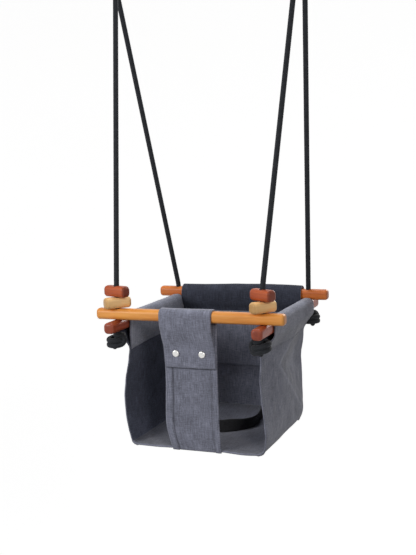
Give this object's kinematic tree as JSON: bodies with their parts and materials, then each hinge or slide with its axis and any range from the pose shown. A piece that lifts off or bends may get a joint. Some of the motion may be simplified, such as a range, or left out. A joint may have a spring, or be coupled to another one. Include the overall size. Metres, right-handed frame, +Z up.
{
  "type": "toddler bucket swing",
  "caption": "Hanging toddler seat: a square frame of wooden bars on two ropes, a canvas bucket with a snapped crotch strap, and a lap belt.",
  "frame": {"origin": "midway between the two hanging rings, at the height where a hook bears inside them", "axes": "+Z up, +X to the right across the seat as seen from its front, -Y towards its front"},
  "size_m": [0.46, 0.386, 1.0342],
  "materials": {
    "front_wood": "oiled, orange-brown",
    "back_wood": "oiled, orange-brown, darker",
    "red_wood": "stained red-brown, satin",
    "pale_wood": "natural, satin",
    "rope": "braided, matt black",
    "ring_steel": "welded round wire",
    "canvas": "grey melange canvas, hemmed",
    "snap_metal": "polished, domed",
    "webbing": "woven, black",
    "buckle_plastic": "moulded, black"
  },
  "bodies": {
    "rings": {"left_ring": "ring_steel", "right_ring": "ring_steel"},
    "seat": {"back_bar": "back_wood", "left_side_bar": "red_wood", "right_side_bar": "red_wood", "back_panel": "canvas", "back_facing": "canvas", "left_side_panel": "canvas", "right_side_panel": "canvas", "seat_base": "canvas", "belt_left": "webbing", "belt_right": "webbing", "buckle_socket": "buckle_plastic", "left_ring_hitch": "rope", "left_rope_front_end": "rope", "left_rope_front_leg": "rope", "left_rope_back_leg": "rope", "left_front_knot": "rope", "left_back_knot": "rope", "right_ring_hitch": "rope", "right_rope_front_end": "rope", "right_rope_front_leg": "rope", "right_rope_back_leg": "rope", "right_front_knot": "rope", "right_back_knot": "rope"},
    "front_bar": {"front_bar": "front_wood", "crotch_strap": "canvas", "snap_studs": "snap_metal", "snap_posts": "snap_metal"},
    "strap_flap": {"strap_flap": "canvas", "snap_caps": "snap_metal", "snap_sockets": "snap_metal"},
    "buckle_plug": {"buckle_plug": "buckle_plastic"},
    "left_lower_spacer": {"left_lower_spacer": "pale_wood"},
    "left_upper_spacer": {"left_upper_spacer": "red_wood"},
    "right_lower_spacer": {"right_lower_spacer": "pale_wood"},
    "right_upper_spacer": {"right_upper_spacer": "red_wood"}
  },
  "joints": [
    {"name": "swing", "type": "hinge", "parent": "rings", "child": "seat", "pos_m": [0, 0, -0.044], "axis": [1, 0, 0], "range_deg": [-40, 40]},
    {"name": "front_bar_lift", "type": "slide", "parent": "seat", "child": "front_bar", "axis": [0, 0, 1], "range_m": [0, 0.06], "deforming": ["left_rope_front_leg", "right_rope_front_leg"]},
    {"name": "strap_flap_fold", "type": "hinge", "parent": "front_bar", "child": "strap_flap", "pos_m": [0, -0.15, -0.743], "axis": [-1, 0, 0], "range_deg": [0, 130]},
    {"name": "buckle_release", "type": "slide", "parent": "seat", "child": "buckle_plug", "axis": [1, 0, 0], "range_m": [0, 0.04], "deforming": ["belt_right"]},
    {"name": "left_lower_spacer_turn", "type": "hinge", "parent": "front_bar", "child": "left_lower_spacer", "pos_m": [-0.15, -0.15, -0.7337], "axis": [0, 0, 1], "continuous": true},
    {"name": "left_upper_spacer_turn", "type": "hinge", "parent": "front_bar", "child": "left_upper_spacer", "pos_m": [-0.15, -0.15, -0.7114], "axis": [0, 0, 1], "continuous": true},
    {"name": "right_lower_spacer_turn", "type": "hinge", "parent": "front_bar", "child": "right_lower_spacer", "pos_m": [0.15, -0.15, -0.7337], "axis": [0, 0, 1], "continuous": true},
    {"name": "right_upper_spacer_turn", "type": "hinge", "parent": "front_bar", "child": "right_upper_spacer", "pos_m": [0.15, -0.15, -0.7114], "axis": [0, 0, 1], "continuous": true}
  ]
}
